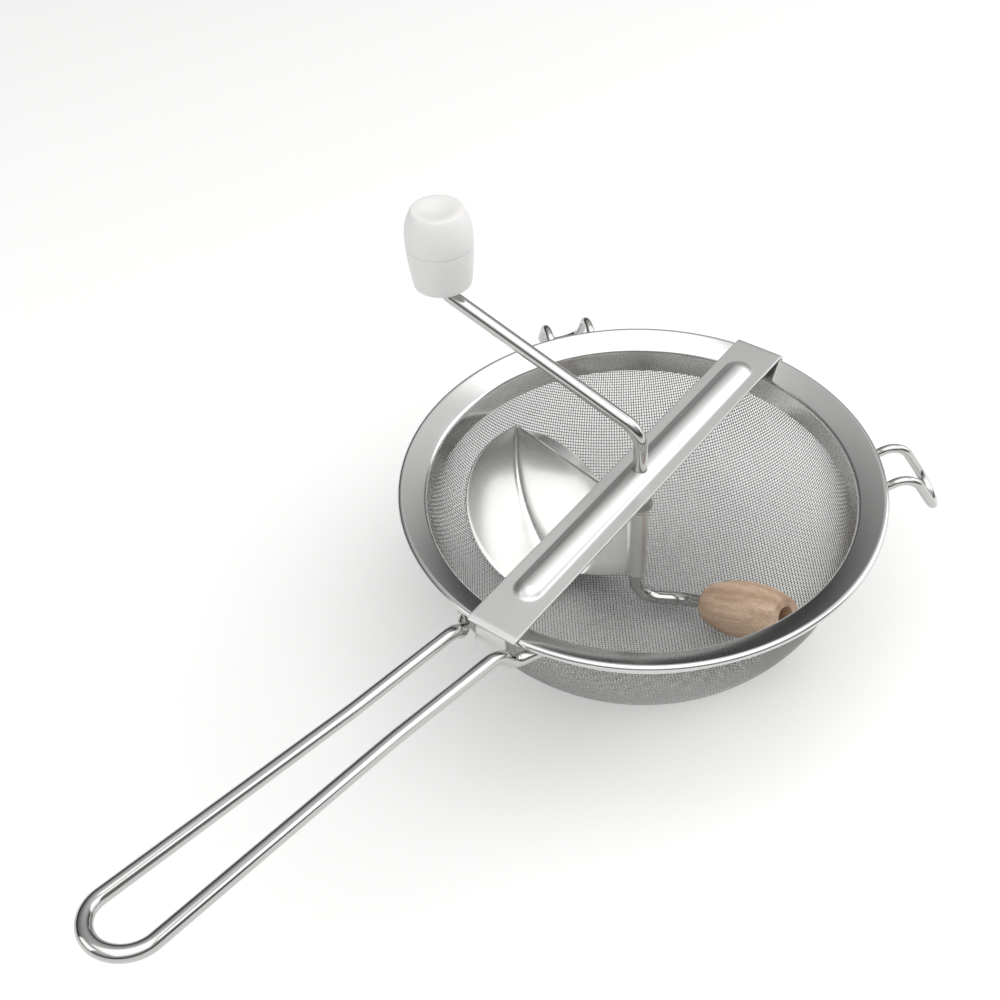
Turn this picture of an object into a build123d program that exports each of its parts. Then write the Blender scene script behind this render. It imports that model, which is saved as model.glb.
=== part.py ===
from build123d import *
import os
from math import asin, atan, cos, degrees, hypot, radians, sin, sqrt, tan

# Hand-cranked rotary strainer. The origin is on the crank axis, level with the middle of the
# rolled bead of the rim. +Z is up and the handle points towards -X. Millimetres.

# ---- rim ----
rim_radius = 100.0            # outside of the rolled bead
bead_diameter = 3.2           # rolled bead, outside
sheet = 0.6                   # stainless sheet of the rim
flange_width = 11.8           # from the bead's outside to the upright wall
flange_slope = 24.5           # degrees, falling inwards
flange_corner = 2.4           # bend between flange and wall
wall_depth = 14.0             # lower edge of the wall, below the origin
wall_taper = 0.6              # how much the wall closes in on its way down
curl_end = 205.0              # degrees round the bead where the curl ends
wire_play = 0.04              # between the bead and the wire inside it

# ---- mesh ----
mesh_thickness = 0.8
mesh_top = -7.0               # upper edge, clamped behind the ring
knee_radius = 60.0            # bend from the side of the bowl to its floor
floor_slope = 25.0            # degrees, where the knee meets the floor
ring_thickness = 0.6
seat_play = 0.05              # between pieces that are pressed or welded together
press_play = 0.02             # radial, round a pressed-on ring

# ---- handle ----
handle_diameter = 5.3
handle_reach = 177.5          # from the bead to the middle of the end loop's wire
handle_gap = 20.4             # between the middles of the rods at the rim
handle_waist = 65.0           # from the bead to the narrowest place between the rods
handle_waist_gap = 19.2       # between the middles of the rods there
handle_end_gap = 23.6         # the same at the loop
handle_slope = 13.0           # degrees
handle_level = 1.8            # height of the rods' line where it crosses the bead
handle_dive = 9.5             # from the bead to where the rods leave their line
handle_foot = 3.5             # from the bead to where they level out beneath it
handle_splay = 2.1            # how far the rods part on that way
dive_bend = 13.0
foot_bend = 7.0
hug_start = 14.0              # degrees from the handle's line where the ends leave the wall
hug_end = 27.0                # degrees from the handle's line where the ends stop
hug_run = 4.6                 # straight run from the wall to the turn
hug_bend = 8.0
waist_bend = 180.0

# ---- pot hooks ----
hook_diameter = 3.8
hook_azimuth = 51.0
hook_width = 19.5             # between the middles of the two legs
hook_rise = 31.0              # degrees, slope of the legs out from under the bead
hook_peak = 9.5              # corner of the bend, outside the bead
hook_reach = 23.6             # end of the hook, outside the bead
hook_drop = 22.6              # from the corner of the bend down to the end
hook_bend = 8.0
hook_root = 4.0

# ---- bridge ----
bridge_width = 22.0
bridge_thickness = 1.2
bridge_seat = 0.35            # clearance round the bead
lip_drop = 2.3                # lip at the far end, below the origin
tongue_width = 14.0
tongue_drop = 3.2             # where the tongue turns outwards, below the origin
tongue_flare = 5.4            # length of the flared tab
flare_angle = 38.0            # degrees from the vertical
tongue_corner = 4.6
tongue_bend = 2.0
shoulder = 0.3                # how far the strip's corners pass the bead
rib_width = 13.0
rib_height = 3.2
rib_foot = 1.5                # radius where the rib leaves the strip
rib_end_near = 17.0           # from the bead's outside to the rib's end, handle side
rib_end_far = 14.0            # the same at the far side

# ---- crank ----
rod_diameter = 6.0
crank_azimuth = 97.0
crank_reach = 89.0            # from the shaft to the knob's pin
elbow_level = 25.6            # where the arm's line meets the shaft's line
arm_slope = 24.3              # degrees
elbow_bend = 13.0
pin_bend = 6.0
pin_length = 30.0             # pin above the corner of the arm
running_play = 0.1            # radial, rod in the bridge and in washers

# ---- spring and its stops ----
spring_wire = 1.0
spring_diameter = 8.0         # middle of the wire
spring_turns = 6.0
spring_top = 2.4
washer_level = -14.0          # upper face of the thrust washer
washer_diameter = 12.0
washer_thickness = 1.0
clip_diameter = 10.0
clip_thickness = 1.2
clip_mouth = 0.7              # share of the rod's diameter
face_play = 0.05              # between faces that run on each other

# ---- roller ----
roller_length = 43.0
roller_diameter = 25.0        # at the middle of the barrel
roller_taper = 7.8             # how much thinner the barrel is at its ends
roller_latitude = 30.0        # degrees up the knee to where the roller lies
roller_skew = 15.0            # degrees between the axle and the roller's own radius, in plan
roller_gap = 0.45             # from the mesh
roller_bore_depth = 9.0       # recess for the push nut
roller_chamfer = 0.8
floor_gap = 4.0               # lowest point of the rod above the middle of the mesh
push_nut_diameter = 8.0
push_nut_thickness = 1.2
push_nut_sheet = 0.5
push_nut_brim = 0.8
axle_end = 1.4                # axle past its push nut
foot_share = 0.5              # share of the foot's run taken by its bend from the shaft
toe_share = 0.27              # share taken by its bend into the axle
nut_room = 0.35               # round a push nut

# ---- paddle ----
paddle_sheet = 0.8
paddle_gap = 0.6              # from the mesh
paddle_diameter = 78.8
paddle_azimuth = 83.8
paddle_latitude = 52.6        # degrees down the knee to the middle of the disc
blade_azimuth = 73.5
blade_outer_level = -29.0     # outer end of the blade's top edge
blade_inner_level = -17.7     # the top edge at the shaft
blade_lean_left = 20.0        # degrees from the vertical
blade_lean_right = 8.0
blade_foot_radius = 34.0      # where the blade's lower edge leaves the disc
blade_foot_level = -72.0
blade_shaft_foot = -52.0      # lower end of the blade at the shaft
sleeve_diameter = 9.0
sleeve_top = -17.0
sleeve_bottom = -56.0

# ---- knob ----
knob_base_level = 70.1
knob_height = 34.4
knob_diameter = 27.2
knob_base_diameter = 23.4
knob_top_diameter = 20.2
knob_widest = 0.62            # share of the height, up from the base
knob_split = 0.55             # parting line, share of the height
knob_neck_diameter = 18.0     # neck of the body inside the cap
knob_neck_height = 5.0
knob_cap_wall = 3.2
knob_dish = 1.2               # hollow in the top face
knob_edge = 1.2
knob_line = 0.15              # width of the parting line
knob_base_lean = 0.12         # run over rise of the side at its base
knob_top_lean = -0.75         # the same at its top
knob_top_round = 2.4          # width of the rounded edge at the top, in edge sizes
knob_hollow = 14.0            # room for the push nut inside the cap

# ---- general ----
fillet_share = 0.97           # share of an arc's full radius that one bend may take
bend_room = 0.1               # straight left between two bends of a loop
plenty = 400.0                # longer than the whole strainer, for cutting blocks

# ---- worked out from the sizes above ----
bead_radius = bead_diameter / 2
bead_centre = rim_radius - bead_radius
wall_radius = rim_radius - flange_width
wall_foot_radius = wall_radius - wall_taper
mesh_radius = wall_radius + sheet + seat_play
knee_centre = mesh_radius - knee_radius
floor_radius = knee_radius + knee_centre / sin(radians(floor_slope))
floor_centre = -wall_depth + (floor_radius - knee_radius) * cos(radians(floor_slope))
floor_level = floor_centre - floor_radius
ring_radius = mesh_radius + mesh_thickness + seat_play
ring_outside = ring_radius + ring_thickness
bridge_under = bead_radius + bridge_seat
bridge_top = bridge_under + bridge_thickness
rod_radius = rod_diameter / 2
roller_centre_distance = knee_radius - roller_gap - roller_diameter / 2
roller_x = knee_centre + roller_centre_distance * sin(radians(roller_latitude))
roller_z = -wall_depth - roller_centre_distance * cos(radians(roller_latitude))
axle_rise = tan(radians(roller_latitude)) * cos(radians(roller_skew))
axle_slope = degrees(atan(axle_rise))
foot_level = floor_level + floor_gap + rod_radius
pin_corner = elbow_level + crank_reach * tan(radians(arm_slope))
clip_level = washer_level - washer_thickness - face_play


def flange_level(radius, below=0.0):
    """Height of the flange's upper face at a radius, or of a line a distance below that face."""
    slope = radians(flange_slope)
    return (bead_radius - below) / cos(slope) - (bead_centre - radius) * tan(slope)


def upright(curve):
    """Put a curve drawn in radius and height on the X-Z plane."""
    return Plane.XZ * curve


def turned(outline):
    """Turn a closed outline of radius and height about the Z axis."""
    return revolve(upright(make_face(outline)), Axis.Z)


def washer(outside, inside, low, thickness):
    """A flat ring on the Z axis, given by two diameters, its lower face and its thickness."""
    ring = Cylinder(outside / 2, thickness) - Cylinder(inside / 2, thickness)
    return Pos(0, 0, low + thickness / 2) * ring


def bent_wire(points, radii, diameter):
    """Round wire along straight runs joined by arcs, one radius for each inner point."""
    path = FilletPolyline(*points, radius=radii)
    section = Plane(origin=path @ 0, z_dir=path % 0) * Circle(diameter / 2)
    return sweep(section, path=path)


# ---- rim and bowl ----
def rim_line(inset):
    """Section line of the rim's sheet, moved into the sheet by inset: curl, flange, wall."""
    slope = radians(flange_slope)
    radius = bead_radius - inset
    start = 90 + flange_slope
    curl = CenterArc((bead_centre, 0), radius, start, curl_end - 360 - start)
    flange_start = (bead_centre - radius * sin(slope), radius * cos(slope))
    corner_radius = wall_radius + inset
    corner = (corner_radius, flange_level(corner_radius, inset))
    foot = (wall_foot_radius + inset, -wall_depth)
    bend = flange_corner - sheet + inset
    return curl, FilletPolyline(flange_start, corner, foot, radius=bend)


def make_rim_band():
    outer_curl, outer_run = rim_line(0)
    inner_curl, inner_run = rim_line(sheet)
    curl_cap = Line(outer_curl @ 1, inner_curl @ 1)
    foot_cap = Line(outer_run @ 1, inner_run @ 1)
    outline = outer_curl + outer_run + inner_curl + inner_run + curl_cap + foot_cap
    return turned(outline)


def make_rim_wire():
    radius = bead_radius - sheet - wire_play
    return Torus(bead_centre, radius)


def bowl_line(inset):
    """Section of the bowl from the top of its knee to the middle of its floor."""
    knee = CenterArc((knee_centre, -wall_depth), knee_radius - inset, 0, floor_slope - 90)
    floor = CenterArc((0, floor_centre), floor_radius - inset, floor_slope - 90, -floor_slope)
    return knee + floor


def make_mesh_bowl():
    inner = bowl_line(0)
    outer = bowl_line(-mesh_thickness)
    outside = mesh_radius + mesh_thickness
    rim = Polyline(
        (mesh_radius, -wall_depth),
        (mesh_radius, mesh_top),
        (outside, mesh_top),
        (outside, -wall_depth),
    )
    middle = Line((0, floor_level), (0, floor_level - mesh_thickness))
    return turned(inner + outer + rim + middle)


def make_mesh_ring():
    height = wall_depth + mesh_top
    return washer(2 * ring_outside, 2 * ring_radius, -wall_depth, height)


def make_handle_wire():
    """The ends lie along the ring under the flange, then turn out beneath the bead."""
    radius = handle_diameter / 2
    hug_radius = ring_outside + seat_play + radius
    hug_level = flange_level(hug_radius, sheet + radius + 4 * seat_play)
    middle = radians((hug_start + hug_end) / 2)
    half = radians((hug_end - hug_start) / 2)
    start, end = radians(hug_start), radians(hug_end)
    corner = hug_radius / cos(half)
    turn_x = -hug_radius * cos(start) - hug_run * sin(start)
    turn_y = hug_radius * sin(start) - hug_run * cos(start)

    def rod_point(reach, gap):
        """A point of the rods' line, a distance outside the bead."""
        return (-rim_radius - reach, gap / 2, handle_level + reach * tan(radians(handle_slope)))

    side = [
        (-hug_radius * cos(end), hug_radius * sin(end), hug_level),
        (-corner * cos(middle), corner * sin(middle), hug_level),
        (turn_x, turn_y, hug_level),
        (-rim_radius - handle_foot, handle_gap / 2 + handle_splay, hug_level),
        rod_point(handle_dive, handle_gap),
        rod_point(handle_waist, handle_waist_gap),
        rod_point(handle_reach, handle_end_gap),
    ]
    other = [(x, -y, z) for x, y, z in reversed(side)]
    radii = [hug_radius * fillet_share, hug_bend, foot_bend, dive_bend, waist_bend]
    radii.append(handle_end_gap / 2 - bend_room)
    return bent_wire(side + other, radii + radii[::-1], handle_diameter)


def make_hook():
    """A hook on the X axis: roots on the ring, over the pot's edge, and a round end."""
    radius = hook_diameter / 2
    slope = radians(hook_rise)
    half = hook_width / 2
    root = ring_outside + seat_play + radius
    bead_at_leg = sqrt(bead_centre**2 - half**2)
    under = (bead_radius + radius + 6 * seat_play) / cos(slope)

    def leg_level(x):
        return (x - bead_at_leg) * tan(slope) - under

    peak = rim_radius + hook_peak
    side = [
        (root, half, -wall_depth),
        (root, half, leg_level(root)),
        (peak, half, leg_level(peak)),
        (rim_radius + hook_reach, half, leg_level(peak) - hook_drop),
    ]
    other = [(x, -y, z) for x, y, z in reversed(side)]
    radii = [hook_root, hook_bend, half - bend_room]
    return bent_wire(side + other, radii + radii[::-1], hook_diameter)


# ---- bridge ----
def rib_half_section():
    """Half of the rib's section as sheet, from its middle out to where it meets the strip."""
    half = rib_width / 2
    crown = (half**2 + rib_height**2) / (2 * rib_height) - rib_foot
    crown_centre = rib_height - crown
    meet = degrees(asin((rib_foot - crown_centre) / (crown + rib_foot)))
    outer_top = CenterArc((0, crown_centre), crown, meet, 90 - meet)
    outer_foot = CenterArc((half, rib_foot), rib_foot, 180 + meet, 90 - meet)
    inner_top = CenterArc((0, crown_centre), crown - bridge_thickness, meet, 90 - meet)
    inner_foot = CenterArc((half, rib_foot), rib_foot + bridge_thickness, 180 + meet, 90 - meet)
    middle = Line(outer_top @ 1, inner_top @ 1)
    edge = Line(outer_foot @ 1, inner_foot @ 1)
    return make_face(outer_top + outer_foot + inner_top + inner_foot + middle + edge)


def bridge_side(width):
    """The strip seen from the side, one line under its sheet, carried across a width."""
    reach = bead_centre + bridge_under
    flare = radians(flare_angle)
    tab = (-reach - tongue_flare * sin(flare), -tongue_drop - tongue_flare * cos(flare))
    corners = [(reach, bridge_under), (-reach, bridge_under), (-reach, -tongue_drop)]
    bends = [bridge_under, bridge_under, tongue_bend]
    under = FilletPolyline((reach, -lip_drop), *corners, tab, radius=bends)
    out = [(reach + bridge_thickness, bridge_top), (-reach - bridge_thickness, bridge_top)]
    step = bridge_thickness * tan(flare / 2)
    out.append((-reach - bridge_thickness, -tongue_drop + step))
    tab_out = (tab[0] - bridge_thickness * cos(flare), tab[1] + bridge_thickness * sin(flare))
    over_bends = [bridge_top, bridge_top, tongue_bend - bridge_thickness]
    over = FilletPolyline((reach + bridge_thickness, -lip_drop), *out, tab_out, radius=over_bends)
    face = make_face(upright(under + over + Line(under @ 0, over @ 0) + Line(under @ 1, over @ 1)))
    return extrude(face, amount=width / 2, both=True)


def make_bridge_strip():
    half = rib_width / 2
    near = -rim_radius + rib_end_near + half
    far = rim_radius - rib_end_far - half
    above = Box(plenty, bridge_width, plenty, align=(Align.MIN, Align.CENTER, Align.MIN))
    far_end = Box(rim_radius, bridge_width, plenty)
    kept = Pos(-rim_radius - shoulder, 0, 0) * above + Pos(rim_radius, 0, 0) * far_end
    wide = bridge_side(bridge_width) & kept
    tongue_room = Box(2 * rib_end_near, tongue_width, plenty)
    tongue = bridge_side(tongue_width) & Pos(-rim_radius, 0, 0) * tongue_room
    tab_end = min(v.Z for v in tongue.vertices())
    corner_cut = Pos(-rim_radius, 0, tab_end) * Rot(0, 90, 0) * tab_corners()
    strip = wide + (tongue - corner_cut)
    window = Pos((near + far) / 2, 0, bridge_top) * extrude(
        SlotCenterToCenter(far - near, rib_width), amount=bridge_top, both=True
    )
    section = rib_half_section()
    straight = Plane.YZ * section
    straight = Pos(near, 0, bridge_top) * extrude(straight, amount=far - near)
    ends = revolve(upright(section), Axis.Z)
    rib = straight + mirror(straight, Plane.XZ) + Pos(near, 0, bridge_top) * ends
    rib += Pos(far, 0, bridge_top) * ends
    hole = Cylinder(rod_radius + running_play, plenty)
    return strip - window + rib - hole


def tab_corners():
    """What the rounded lower corners of the tongue lose, drawn on the X-Y plane."""
    half = tongue_width / 2
    block = Rectangle(2 * tongue_corner, 2 * tongue_width)
    round_off = min(tongue_corner, half - bend_room)
    kept = RectangleRounded(4 * tongue_corner, tongue_width, round_off)
    kept = Pos(-2 * tongue_corner, 0) * kept
    return extrude(block - kept, amount=rib_end_near, both=True)


# ---- crank ----
def on_crank(shape):
    """Turn a shape made on the X-Z plane to the crank's direction."""
    return Rot(0, 0, crank_azimuth) * shape


def axle_direction():
    """Direction of the roller's axle, outwards, while the crank points along +X. The axle lies
    along the mesh and is askew, so the roller also drags what it presses."""
    slope, skew = radians(axle_slope), radians(roller_skew)
    return Vector(-cos(slope) * cos(skew), cos(slope) * sin(skew), sin(slope))


def on_axle(shape):
    """Put a shape made along Z on the roller's axle, its origin at the roller's middle."""
    axle = Plane(origin=(-roller_x, 0, roller_z), z_dir=axle_direction())
    return on_crank(axle * shape)


def make_crank_rod():
    out = axle_direction()
    centre = Vector(-roller_x, 0, roller_z)
    tip = centre + out * (roller_length / 2 - roller_bore_depth + push_nut_thickness + axle_end)
    toe = centre - out * ((roller_z - foot_level) / out.Z)
    run = hypot(toe.X, toe.Y)
    along = Vector(toe.X / run, toe.Y / run, 0)
    toe_turn = radians(along.get_angle(out))
    points = [
        (crank_reach, 0, pin_corner + pin_length),
        (crank_reach, 0, pin_corner),
        (0, 0, elbow_level),
        (0, 0, foot_level),
        toe,
        tip,
    ]
    bends = [pin_bend, elbow_bend, foot_share * run, toe_share * run / tan(toe_turn / 2)]
    return on_crank(bent_wire(points, bends, rod_diameter))


def make_spring():
    radius = spring_wire / 2
    length = spring_top - washer_level - face_play - spring_wire
    coil = Helix(length / spring_turns, length, spring_diameter / 2)
    section = Plane(origin=coil @ 0, z_dir=coil % 0) * Circle(radius)
    return Pos(0, 0, washer_level + face_play + radius) * sweep(section, path=coil, is_frenet=True)


def make_thrust_washer():
    bore = rod_diameter + 2 * running_play
    return washer(washer_diameter, bore, washer_level - washer_thickness, washer_thickness)


def make_stop_clip():
    """Open retaining clip, pressed on the shaft under the washer."""
    bore = rod_diameter + 2 * press_play
    clip = washer(clip_diameter, bore, clip_level - clip_thickness, clip_thickness)
    mouth_width = clip_mouth * rod_diameter
    mouth = Box(clip_diameter, mouth_width, 3 * clip_thickness, align=(Align.MIN, Align.CENTER))
    return clip - Pos(0, 0, clip_level) * mouth


def make_roller():
    half = roller_length / 2
    end = (roller_diameter - roller_taper) / 2
    barrel = ThreePointArc(
        (end, -half + roller_chamfer),
        (roller_diameter / 2, 0),
        (end, half - roller_chamfer),
    )
    bore = rod_radius + running_play
    recess = push_nut_diameter / 2 + nut_room
    face = end - roller_chamfer
    rest = Polyline(
        barrel @ 1,
        (face, half),
        (recess, half),
        (recess, half - roller_bore_depth),
        (bore, half - roller_bore_depth),
        (bore, -half),
        (face, -half),
        barrel @ 0,
    )
    return on_axle(turned(barrel + rest))


def push_nut(outside, low):
    """Domed push-on fastener on the Z axis, its rim at the given height."""
    bore = rod_radius + press_play
    top = low + push_nut_thickness
    rim = outside / 2
    dome = Polyline(
        (bore, top),
        (bore, top - push_nut_sheet),
        (rim - push_nut_brim, low),
        (rim, low),
        (rim, low + push_nut_sheet),
        (rim - push_nut_brim, low + push_nut_sheet),
        (bore + push_nut_sheet / 2, top),
        close=True,
    )
    return turned(dome)


def make_roller_push_nut():
    return on_axle(push_nut(push_nut_diameter, roller_length / 2 - roller_bore_depth + face_play))


def make_roller_inner_washer():
    low = -roller_length / 2 - face_play - washer_thickness
    bore = rod_diameter + 2 * press_play
    return on_axle(washer(washer_diameter, bore, low, washer_thickness))


# ---- paddle ----
def bowl_room(inset):
    """Solid of the room inside the mesh, kept away from it by inset."""
    edge = Polyline((0, floor_level + inset), (0, 0), (mesh_radius - inset, 0),
                    (mesh_radius - inset, -wall_depth))
    return turned(bowl_line(inset) + edge)


def make_paddle():
    turn = radians(blade_azimuth)
    out = Vector(cos(turn), sin(turn), 0)
    left = Vector(-sin(turn), cos(turn), 0)
    up = Vector(0, 0, 1)
    middle = knee_radius - paddle_gap - paddle_sheet / 2
    outer_radius = knee_centre + sqrt(middle**2 - (blade_outer_level + wall_depth) ** 2)
    outer = out * outer_radius + up * blade_outer_level
    inner = up * blade_inner_level
    ridge = (inner - outer).normalized()
    length = (inner - outer).length
    depth = -floor_level

    def side(lean, hand, start, thickness):
        """Slab under the ridge, leaning out to one hand, from one depth into the fold."""
        down = left * (hand * sin(radians(lean))) - up * cos(radians(lean))
        normal = ridge.cross(down) * hand
        align = (Align.MIN, Align.MIN if hand > 0 else Align.MAX, Align.MIN)
        frame = Plane(origin=outer, x_dir=ridge, z_dir=normal)
        return frame * Pos(0, 0, start) * Box(length, depth, thickness, align=align)

    half = paddle_sheet / 2
    fold = side(blade_lean_left, 1, half, depth) & side(blade_lean_right, -1, half, depth)
    webs = side(blade_lean_left, 1, 0, paddle_sheet) + side(blade_lean_right, -1, 0, paddle_sheet)
    profile = Polyline(
        (0, 0),
        (rim_radius, 0),
        (rim_radius, floor_level),
        (blade_foot_radius, floor_level),
        (blade_foot_radius, blade_foot_level),
        (0, blade_shaft_foot),
        close=True,
    )
    frame = Plane(origin=(0, 0, 0), x_dir=out, z_dir=-left)
    limit = extrude(frame * make_face(profile), amount=rim_radius / 2, both=True)
    webs = webs & bowl_room(paddle_gap) & limit

    latitude, azimuth = radians(paddle_latitude), radians(paddle_azimuth)
    radius = knee_centre + knee_radius * cos(latitude)
    level = -wall_depth - knee_radius * sin(latitude)
    centre = (radius * cos(azimuth), radius * sin(azimuth), level)
    normal = (cos(latitude) * cos(azimuth), cos(latitude) * sin(azimuth), -sin(latitude))
    punch = Plane(origin=centre, z_dir=normal) * Cylinder(paddle_diameter / 2, knee_radius)
    disc = (bowl_room(paddle_gap) - bowl_room(paddle_gap + paddle_sheet)) & punch
    core = Cylinder(sleeve_diameter / 2 + press_play, plenty)
    return disc - fold + webs - core


def make_paddle_sleeve():
    bore = rod_diameter + 2 * press_play
    return washer(sleeve_diameter, bore, sleeve_bottom, sleeve_top - sleeve_bottom)


# ---- knob ----
def on_pin(shape):
    """Put a shape made on the Z axis on the knob's pin."""
    return on_crank(Pos(crank_reach, 0, 0) * shape)


def knob_outline():
    """Outside of the whole knob from its base to its dished top."""
    base = (knob_base_diameter / 2, knob_base_level + knob_edge)
    widest = (knob_diameter / 2, knob_base_level + knob_height * knob_widest)
    top = (knob_top_diameter / 2, knob_base_level + knob_height - knob_edge)
    return base, widest, top


def knob_blank():
    """The knob as one turned piece."""
    base, widest, top = knob_outline()
    side = Spline(base, widest, top, tangents=[(knob_base_lean, 1), (knob_top_lean, 1)])
    crown = knob_base_level + knob_height
    foot = Polyline((0, knob_base_level), (base[0] - knob_edge, knob_base_level), base)
    dish_radius = top[0] - knob_top_round * knob_edge
    over = (top[0] - knob_edge, crown - knob_edge / 4)
    shoulder_arc = ThreePointArc(top, over, (dish_radius, crown))
    bowl = (dish_radius**2 + knob_dish**2) / (2 * knob_dish)
    sweep_angle = degrees(asin(dish_radius / bowl))
    dish = CenterArc((0, crown - knob_dish + bowl), bowl, sweep_angle - 90, -sweep_angle)
    middle = Line((0, crown - knob_dish), (0, knob_base_level))
    return turned(foot + side + shoulder_arc + dish + middle)


def knob_slice(low, high, diameter=2 * knob_diameter):
    """A round block between two heights on the pin."""
    return Pos(0, 0, (low + high) / 2) * Cylinder(diameter / 2, high - low)


def make_knob_body():
    split = knob_base_level + knob_height * knob_split
    neck = knob_slice(split - knob_edge, split + knob_neck_height, knob_neck_diameter)
    body = knob_blank() & (knob_slice(0, split) + neck)
    return on_pin(body - Cylinder(rod_radius + running_play, plenty))


def make_knob_cap():
    """Cup that closes over the body's neck and the push nut."""
    split = knob_base_level + knob_height * knob_split + knob_line
    crown = knob_base_level + knob_height - knob_dish - knob_cap_wall
    neck_room = knob_neck_diameter + 2 * seat_play
    socket = knob_slice(split - knob_edge, split + knob_neck_height, neck_room)
    hollow = knob_slice(split, crown, knob_hollow)
    return on_pin((knob_blank() & knob_slice(split, plenty)) - socket - hollow)


def make_knob_push_nut():
    level = knob_base_level + knob_height * knob_split + knob_neck_height + face_play
    return on_pin(push_nut(clip_diameter, level))


# ---- all pieces, by name ----
def make_pieces():
    hook = make_hook()
    return {
        "rim_band": make_rim_band(),
        "rim_wire": make_rim_wire(),
        "mesh_bowl": make_mesh_bowl(),
        "mesh_ring": make_mesh_ring(),
        "handle_wire": make_handle_wire(),
        "hook_left": Rot(0, 0, hook_azimuth) * hook,
        "hook_right": Rot(0, 0, -hook_azimuth) * hook,
        "bridge_strip": make_bridge_strip(),
        "spring": make_spring(),
        "thrust_washer": make_thrust_washer(),
        "crank_rod": make_crank_rod(),
        "stop_clip": make_stop_clip(),
        "paddle": make_paddle(),
        "paddle_sleeve": make_paddle_sleeve(),
        "roller": make_roller(),
        "roller_inner_washer": make_roller_inner_washer(),
        "roller_push_nut": make_roller_push_nut(),
        "knob_body": make_knob_body(),
        "knob_cap": make_knob_cap(),
        "knob_push_nut": make_knob_push_nut(),
    }


os.makedirs("parts", exist_ok=True)
for name, piece in make_pieces().items():
    export_step(piece, f"parts/{name}.step")
    print(name, "volume", round(piece.volume, 1), "valid", piece.is_valid)
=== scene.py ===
# %% [markdown]
# # A hand-cranked rotary strainer
# The object is a kitchen sieve that passes soft food through a bowl of woven wire. A crank turns a
# folded steel blade and a wooden roller against the mesh. Nearly all of it is bent wire and pressed
# sheet, so nearly all of it can be made in two ways: a profile turned about an axis, or a section
# carried along a path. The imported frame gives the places; the sizes below are the maker's own.

# %% Load the frame
import math

import bpy
import numpy as np
from mathutils import Matrix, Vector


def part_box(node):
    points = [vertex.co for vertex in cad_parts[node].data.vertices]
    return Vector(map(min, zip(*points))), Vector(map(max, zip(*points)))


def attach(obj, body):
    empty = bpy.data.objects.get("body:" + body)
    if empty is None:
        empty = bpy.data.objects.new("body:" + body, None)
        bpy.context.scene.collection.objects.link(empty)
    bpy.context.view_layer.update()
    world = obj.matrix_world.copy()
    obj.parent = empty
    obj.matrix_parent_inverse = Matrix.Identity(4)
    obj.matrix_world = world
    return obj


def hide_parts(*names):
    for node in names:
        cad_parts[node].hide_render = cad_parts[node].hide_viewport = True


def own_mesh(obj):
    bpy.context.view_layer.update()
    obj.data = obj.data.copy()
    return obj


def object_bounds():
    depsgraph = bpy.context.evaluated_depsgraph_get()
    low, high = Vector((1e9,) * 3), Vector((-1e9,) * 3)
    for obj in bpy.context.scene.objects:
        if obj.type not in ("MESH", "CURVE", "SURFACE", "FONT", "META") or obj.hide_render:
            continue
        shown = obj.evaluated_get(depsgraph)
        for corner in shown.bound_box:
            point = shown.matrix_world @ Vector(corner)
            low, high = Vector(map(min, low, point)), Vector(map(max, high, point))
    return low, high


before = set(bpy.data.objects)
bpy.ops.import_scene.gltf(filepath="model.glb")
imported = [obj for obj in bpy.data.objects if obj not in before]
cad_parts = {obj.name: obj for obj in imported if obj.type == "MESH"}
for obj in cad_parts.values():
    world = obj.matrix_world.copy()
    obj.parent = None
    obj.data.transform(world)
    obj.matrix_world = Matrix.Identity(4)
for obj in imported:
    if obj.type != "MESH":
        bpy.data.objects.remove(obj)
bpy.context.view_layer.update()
scene = bpy.context.scene
MM = 0.001

# %% [markdown]
# ## The view
# The camera looks down on the sieve from beyond the handle. A place, a heading, a tilt and a small
# roll fix it, and a lens near 50 mm keeps the ellipse of the rim as round as it looks by eye.

# %% Camera
EYE = (-336.7, -206.1, 379.3)
HEADING = math.radians(39.92)
TILT = math.radians(44.67)
ROLL = math.radians(-3.96)
LENS = 47.52
SENSOR = 36.0
NEAREST = 0.01


def camera_axes(heading, tilt, roll):
    """Right, up and forward of a camera that looks along a heading, tilted down, then rolled."""
    forward = np.array([math.cos(heading) * math.cos(tilt),
                        math.sin(heading) * math.cos(tilt), -math.sin(tilt)])
    level = np.array([math.sin(heading), -math.cos(heading), 0.0])
    rise = np.cross(level, forward)
    right = level * math.cos(roll) + rise * math.sin(roll)
    return right, np.cross(right, forward), forward


camera = bpy.data.objects.new("camera", bpy.data.cameras.new("camera"))
scene.collection.objects.link(camera)
right, up, forward = camera_axes(HEADING, TILT, ROLL)
place = Matrix.Identity(4)
for column, vector in enumerate((right, up, -forward)):
    for row in range(3):
        place[row][column] = vector[row]
for row in range(3):
    place[row][3] = EYE[row] * MM
camera.matrix_world = place
camera.data.lens = LENS
camera.data.sensor_width = SENSOR
camera.data.clip_start = NEAREST
scene.camera = camera
print("camera distance in mm:", round(float(np.linalg.norm(EYE)), 1))

# %% [markdown]
# ## Tools of the trade
# A wire or a sheet edge is never a sharp corner: it is bent round a former. `rounded` turns a few
# corner points into straight runs joined by arcs. `loft` skins a stack of rings, and `tube` and
# `lathe` are the two ways of stacking them. Each works on whole arrays.


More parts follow.
